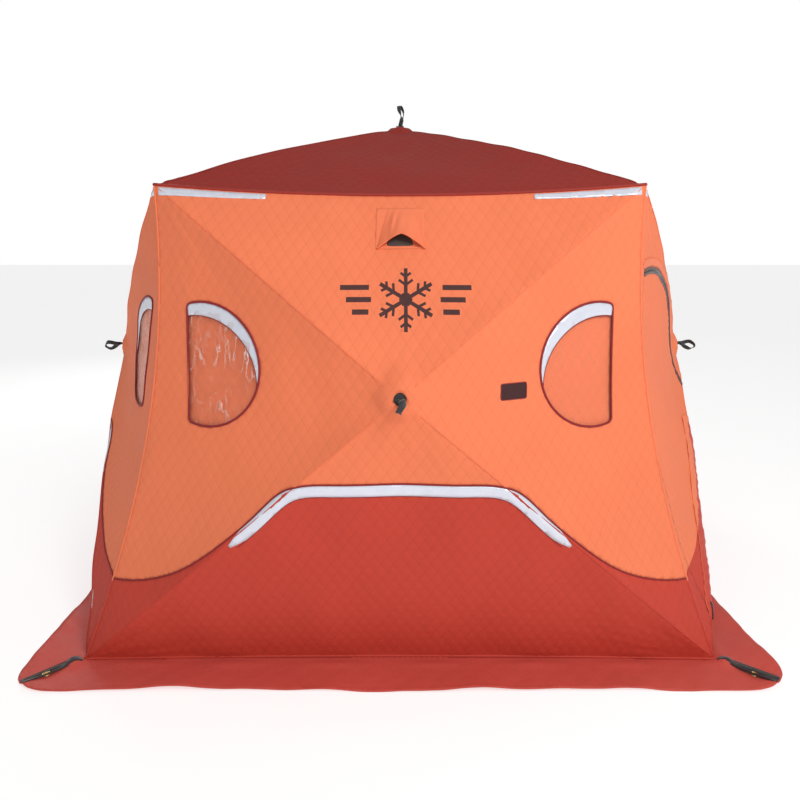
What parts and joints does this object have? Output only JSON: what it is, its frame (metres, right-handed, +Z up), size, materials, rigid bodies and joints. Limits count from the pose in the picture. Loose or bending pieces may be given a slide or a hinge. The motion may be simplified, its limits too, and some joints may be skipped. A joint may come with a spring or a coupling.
{
  "type": "ice fishing shelter",
  "caption": "Hub-style pop-up ice fishing shelter with quilted insulated walls and roof, D-shaped windows, a zipped door and a snow skirt.",
  "frame": {"origin": "on the ground under the middle of the roof", "axes": "+Z up, +X to the right of someone who faces the front wall, the front wall faces -Y"},
  "size_m": [3.0038, 3.0038, 2.193],
  "materials": {
    "roof_cloth": "matt dark red quilted polyester",
    "wall_cloth": "satin orange quilted polyester",
    "lower_cloth": "matt dark red polyester",
    "skirt_cloth": "matt dark red coated polyester",
    "webbing": "woven black webbing",
    "brass": "polished brass",
    "reflective": "silver reflective tape",
    "piping": "dark red piping",
    "vinyl": "clear flexible vinyl",
    "mesh": "dark woven mesh",
    "patch": "dark sewn patch",
    "black_plastic": "moulded black nylon",
    "fibreglass": "pultruded black fibreglass",
    "zip": "coil zip on woven tape"
  },
  "bodies": {
    "shelter": {"arch_reflectors": "reflective", "corner_cups_bottom": "black_plastic", "corner_cups_top": "black_plastic", "door_zip_tape": "zip", "eave_reflectors": "reflective", "label_patch": "patch", "roof_panel": "roof_cloth", "skirt_corner_straps": "webbing", "skirt_grommets": "brass", "snow_skirt": "skirt_cloth", "vent_hoods": "wall_cloth", "vent_meshes": "mesh", "vent_patches": "wall_cloth", "wall_back_upper": "wall_cloth", "wall_front_upper": "wall_cloth", "wall_left_upper": "wall_cloth", "wall_lower_panels": "lower_cloth", "wall_right_upper": "wall_cloth", "window_bindings": "piping", "window_panes": "vinyl", "window_reflectors": "reflective"},
    "hub_front": {"hub_front": "black_plastic"},
    "pole_front_low_a": {"pole_front_low_a": "fibreglass"},
    "pole_front_low_b": {"pole_front_low_b": "fibreglass"},
    "pole_front_top_a": {"pole_front_top_a": "fibreglass"},
    "pole_front_top_b": {"pole_front_top_b": "fibreglass"},
    "pull_front": {"pull_front": "webbing"},
    "hub_right": {"hub_right": "black_plastic"},
    "pole_right_low_a": {"pole_right_low_a": "fibreglass"},
    "pole_right_low_b": {"pole_right_low_b": "fibreglass"},
    "pole_right_top_a": {"pole_right_top_a": "fibreglass"},
    "pole_right_top_b": {"pole_right_top_b": "fibreglass"},
    "pull_right": {"pull_right": "webbing"},
    "hub_back": {"hub_back": "black_plastic"},
    "pole_back_low_a": {"pole_back_low_a": "fibreglass"},
    "pole_back_low_b": {"pole_back_low_b": "fibreglass"},
    "pole_back_top_a": {"pole_back_top_a": "fibreglass"},
    "pole_back_top_b": {"pole_back_top_b": "fibreglass"},
    "pull_back": {"pull_back": "webbing"},
    "hub_left": {"hub_left": "black_plastic"},
    "pole_left_low_a": {"pole_left_low_a": "fibreglass"},
    "pole_left_low_b": {"pole_left_low_b": "fibreglass"},
    "pole_left_top_a": {"pole_left_top_a": "fibreglass"},
    "pole_left_top_b": {"pole_left_top_b": "fibreglass"},
    "pull_left": {"pull_left": "webbing"},
    "hub_roof": {"hub_roof": "black_plastic"},
    "pole_roof_0": {"pole_roof_0": "fibreglass"},
    "pole_roof_1": {"pole_roof_1": "fibreglass"},
    "pole_roof_2": {"pole_roof_2": "fibreglass"},
    "pole_roof_3": {"pole_roof_3": "fibreglass"},
    "pull_roof": {"pull_roof": "webbing"},
    "door": {"door_panel": "wall_cloth"},
    "zip_slider": {"door_zip_slider": "zip"},
    "window_cover_front_a": {"window_cover_front_a": "wall_cloth"},
    "window_cover_front_b": {"window_cover_front_b": "wall_cloth"},
    "window_cover_back_a": {"window_cover_back_a": "wall_cloth"},
    "window_cover_back_b": {"window_cover_back_b": "wall_cloth"},
    "window_cover_left_a": {"window_cover_left_a": "wall_cloth"},
    "window_cover_left_b": {"window_cover_left_b": "wall_cloth"}
  },
  "joints": [
    {"name": "hub_front_pop", "type": "slide", "parent": "shelter", "child": "hub_front", "axis": [0, -0.9868, 0.1621], "range_m": [-0.6634, 0], "deforming": ["wall_front_upper", "wall_lower_panels", "arch_reflectors", "eave_reflectors", "window_reflectors", "window_bindings", "window_panes", "vent_patches", "vent_meshes", "vent_hoods", "label_patch"]},
    {"name": "pole_front_low_a_turn", "type": "hinge", "parent": "hub_front", "child": "pole_front_low_a", "pos_m": [-0.02603, -1.38222, 1.02991], "axis": [0.6434, -0.1241, -0.7554], "range_deg": [-26.79, 0]},
    {"name": "pole_front_low_b_turn", "type": "hinge", "parent": "hub_front", "child": "pole_front_low_b", "pos_m": [0.02603, -1.38222, 1.02991], "axis": [0.6434, 0.1241, 0.7554], "range_deg": [-26.79, 0]},
    {"name": "pole_front_top_a_turn", "type": "hinge", "parent": "hub_front", "child": "pole_front_top_a", "pos_m": [-0.02581, -1.37336, 1.07305], "axis": [-0.6508, -0.1231, -0.7492], "range_deg": [-34.35, 0]},
    {"name": "pole_front_top_b_turn", "type": "hinge", "parent": "hub_front", "child": "pole_front_top_b", "pos_m": [0.02581, -1.37336, 1.07305], "axis": [-0.6508, 0.1231, 0.7492], "range_deg": [-34.35, 0]},
    {"name": "pull_front_swing", "type": "hinge", "parent": "hub_front", "child": "pull_front", "pos_m": [0, -1.41677, 1.05776], "axis": [1, 0, 0], "range_deg": [-50, 50]},
    {"name": "hub_right_pop", "type": "slide", "parent": "shelter", "child": "hub_right", "axis": [0.9868, 0, 0.1621], "range_m": [-0.6634, 0], "deforming": ["wall_right_upper", "door_panel", "door_zip_tape"]},
    {"name": "pole_right_low_a_turn", "type": "hinge", "parent": "hub_right", "child": "pole_right_low_a", "pos_m": [1.38222, -0.02603, 1.02991], "axis": [0.1241, 0.6434, -0.7554], "range_deg": [-26.79, 0]},
    {"name": "pole_right_low_b_turn", "type": "hinge", "parent": "hub_right", "child": "pole_right_low_b", "pos_m": [1.38222, 0.02603, 1.02991], "axis": [-0.1241, 0.6434, 0.7554], "range_deg": [-26.79, 0]},
    {"name": "pole_right_top_a_turn", "type": "hinge", "parent": "hub_right", "child": "pole_right_top_a", "pos_m": [1.37336, -0.02581, 1.07305], "axis": [0.1231, -0.6508, -0.7492], "range_deg": [-34.35, 0]},
    {"name": "pole_right_top_b_turn", "type": "hinge", "parent": "hub_right", "child": "pole_right_top_b", "pos_m": [1.37336, 0.02581, 1.07305], "axis": [-0.1231, -0.6508, 0.7492], "range_deg": [-34.35, 0]},
    {"name": "pull_right_swing", "type": "hinge", "parent": "hub_right", "child": "pull_right", "pos_m": [1.41677, 0, 1.05776], "axis": [0, 1, 0], "range_deg": [-50, 50]},
    {"name": "hub_back_pop", "type": "slide", "parent": "shelter", "child": "hub_back", "axis": [0, 0.9868, 0.1621], "range_m": [-0.6634, 0], "deforming": ["wall_back_upper"]},
    {"name": "pole_back_low_a_turn", "type": "hinge", "parent": "hub_back", "child": "pole_back_low_a", "pos_m": [0.02603, 1.38222, 1.02991], "axis": [-0.6434, 0.1241, -0.7554], "range_deg": [-26.79, 0]},
    {"name": "pole_back_low_b_turn", "type": "hinge", "parent": "hub_back", "child": "pole_back_low_b", "pos_m": [-0.02603, 1.38222, 1.02991], "axis": [-0.6434, -0.1241, 0.7554], "range_deg": [-26.79, 0]},
    {"name": "pole_back_top_a_turn", "type": "hinge", "parent": "hub_back", "child": "pole_back_top_a", "pos_m": [0.02581, 1.37336, 1.07305], "axis": [0.6508, 0.1231, -0.7492], "range_deg": [-34.35, 0]},
    {"name": "pole_back_top_b_turn", "type": "hinge", "parent": "hub_back", "child": "pole_back_top_b", "pos_m": [-0.02581, 1.37336, 1.07305], "axis": [0.6508, -0.1231, 0.7492], "range_deg": [-34.35, 0]},
    {"name": "pull_back_swing", "type": "hinge", "parent": "hub_back", "child": "pull_back", "pos_m": [0, 1.41677, 1.05776], "axis": [-1, 0, 0], "range_deg": [-50, 50]},
    {"name": "hub_left_pop", "type": "slide", "parent": "shelter", "child": "hub_left", "axis": [-0.9868, 0, 0.1621], "range_m": [-0.6634, 0], "deforming": ["wall_left_upper"]},
    {"name": "pole_left_low_a_turn", "type": "hinge", "parent": "hub_left", "child": "pole_left_low_a", "pos_m": [-1.38222, 0.02603, 1.02991], "axis": [-0.1241, -0.6434, -0.7554], "range_deg": [-26.79, 0]},
    {"name": "pole_left_low_b_turn", "type": "hinge", "parent": "hub_left", "child": "pole_left_low_b", "pos_m": [-1.38222, -0.02603, 1.02991], "axis": [0.1241, -0.6434, 0.7554], "range_deg": [-26.79, 0]},
    {"name": "pole_left_top_a_turn", "type": "hinge", "parent": "hub_left", "child": "pole_left_top_a", "pos_m": [-1.37336, 0.02581, 1.07305], "axis": [-0.1231, 0.6508, -0.7492], "range_deg": [-34.35, 0]},
    {"name": "pole_left_top_b_turn", "type": "hinge", "parent": "hub_left", "child": "pole_left_top_b", "pos_m": [-1.37336, -0.02581, 1.07305], "axis": [0.1231, 0.6508, 0.7492], "range_deg": [-34.35, 0]},
    {"name": "pull_left_swing", "type": "hinge", "parent": "hub_left", "child": "pull_left", "pos_m": [-1.41677, 0, 1.05776], "axis": [0, -1, 0], "range_deg": [-50, 50]},
    {"name": "hub_roof_pop", "type": "slide", "parent": "shelter", "child": "hub_roof", "axis": [0, 0, 1], "range_m": [-0.5804, 0], "deforming": ["roof_panel"]},
    {"name": "pole_roof_0_turn", "type": "hinge", "parent": "hub_roof", "child": "pole_roof_0", "pos_m": [-0.02404, -0.02404, 2.06829], "axis": [0.7071, -0.7071, 0], "range_deg": [-28.56, 0]},
    {"name": "pole_roof_1_turn", "type": "hinge", "parent": "hub_roof", "child": "pole_roof_1", "pos_m": [-0.02404, 0.02404, 2.06829], "axis": [-0.7071, -0.7071, 0], "range_deg": [-28.56, 0]},
    {"name": "pole_roof_2_turn", "type": "hinge", "parent": "hub_roof", "child": "pole_roof_2", "pos_m": [0.02404, -0.02404, 2.06829], "axis": [0.7071, 0.7071, 0], "range_deg": [-28.56, 0]},
    {"name": "pole_roof_3_turn", "type": "hinge", "parent": "hub_roof", "child": "pole_roof_3", "pos_m": [0.02404, 0.02404, 2.06829], "axis": [-0.7071, 0.7071, 0], "range_deg": [-28.56, 0]},
    {"name": "pull_roof_swing", "type": "hinge", "parent": "hub_roof", "child": "pull_roof", "pos_m": [0, 0, 2.107], "axis": [1, 0, 0], "range_deg": [-60, 60]},
    {"name": "door_swing", "type": "hinge", "parent": "shelter", "child": "door", "pos_m": [1.22208, -1.075, 0.06], "axis": [-0.1891, 0.158, 0.9692], "range_deg": [-65, 0]},
    {"name": "zip_slide", "type": "slide", "parent": "shelter", "child": "zip_slider", "axis": [0.2245, 0.1623, 0.9609], "range_m": [0, 0.427]},
    {"name": "window_cover_front_a_swing", "type": "hinge", "parent": "shelter", "child": "window_cover_front_a", "pos_m": [-0.808, -1.03306, 0.891], "axis": [0, 0.1641, 0.9864], "range_deg": [0, 110]},
    {"name": "window_cover_front_b_swing", "type": "hinge", "parent": "shelter", "child": "window_cover_front_b", "pos_m": [0.808, -1.03306, 0.891], "axis": [0, 0.1641, 0.9864], "range_deg": [-110, 0]},
    {"name": "window_cover_back_a_swing", "type": "hinge", "parent": "shelter", "child": "window_cover_back_a", "pos_m": [0.808, 1.03306, 0.891], "axis": [0, -0.1641, 0.9864], "range_deg": [0, 110]},
    {"name": "window_cover_back_b_swing", "type": "hinge", "parent": "shelter", "child": "window_cover_back_b", "pos_m": [-0.808, 1.03306, 0.891], "axis": [0, -0.1641, 0.9864], "range_deg": [-110, 0]},
    {"name": "window_cover_left_a_swing", "type": "hinge", "parent": "shelter", "child": "window_cover_left_a", "pos_m": [-1.03041, 0.808, 0.891], "axis": [0.1648, 0, 0.9863], "range_deg": [0, 110]},
    {"name": "window_cover_left_b_swing", "type": "hinge", "parent": "shelter", "child": "window_cover_left_b", "pos_m": [-1.03041, -0.808, 0.891], "axis": [0.1648, 0, 0.9863], "range_deg": [-110, 0]}
  ],
  "couplings": [
    {"joint": "pole_front_low_a_turn", "follows": "hub_front_pop", "rad_per_m": 0.68888},
    {"joint": "pole_front_low_b_turn", "follows": "hub_front_pop", "rad_per_m": 0.68888},
    {"joint": "pole_front_top_a_turn", "follows": "hub_front_pop", "rad_per_m": 0.88779},
    {"joint": "pole_front_top_b_turn", "follows": "hub_front_pop", "rad_per_m": 0.88779},
    {"joint": "pole_right_low_a_turn", "follows": "hub_right_pop", "rad_per_m": 0.68888},
    {"joint": "pole_right_low_b_turn", "follows": "hub_right_pop", "rad_per_m": 0.68888},
    {"joint": "pole_right_top_a_turn", "follows": "hub_right_pop", "rad_per_m": 0.88779},
    {"joint": "pole_right_top_b_turn", "follows": "hub_right_pop", "rad_per_m": 0.88779},
    {"joint": "pole_back_low_a_turn", "follows": "hub_back_pop", "rad_per_m": 0.68888},
    {"joint": "pole_back_low_b_turn", "follows": "hub_back_pop", "rad_per_m": 0.68888},
    {"joint": "pole_back_top_a_turn", "follows": "hub_back_pop", "rad_per_m": 0.88779},
    {"joint": "pole_back_top_b_turn", "follows": "hub_back_pop", "rad_per_m": 0.88779},
    {"joint": "pole_left_low_a_turn", "follows": "hub_left_pop", "rad_per_m": 0.68888},
    {"joint": "pole_left_low_b_turn", "follows": "hub_left_pop", "rad_per_m": 0.68888},
    {"joint": "pole_left_top_a_turn", "follows": "hub_left_pop", "rad_per_m": 0.88779},
    {"joint": "pole_left_top_b_turn", "follows": "hub_left_pop", "rad_per_m": 0.88779},
    {"joint": "pole_roof_0_turn", "follows": "hub_roof_pop", "rad_per_m": 0.84078},
    {"joint": "pole_roof_1_turn", "follows": "hub_roof_pop", "rad_per_m": 0.84078},
    {"joint": "pole_roof_2_turn", "follows": "hub_roof_pop", "rad_per_m": 0.84078},
    {"joint": "pole_roof_3_turn", "follows": "hub_roof_pop", "rad_per_m": 0.84078}
  ]
}
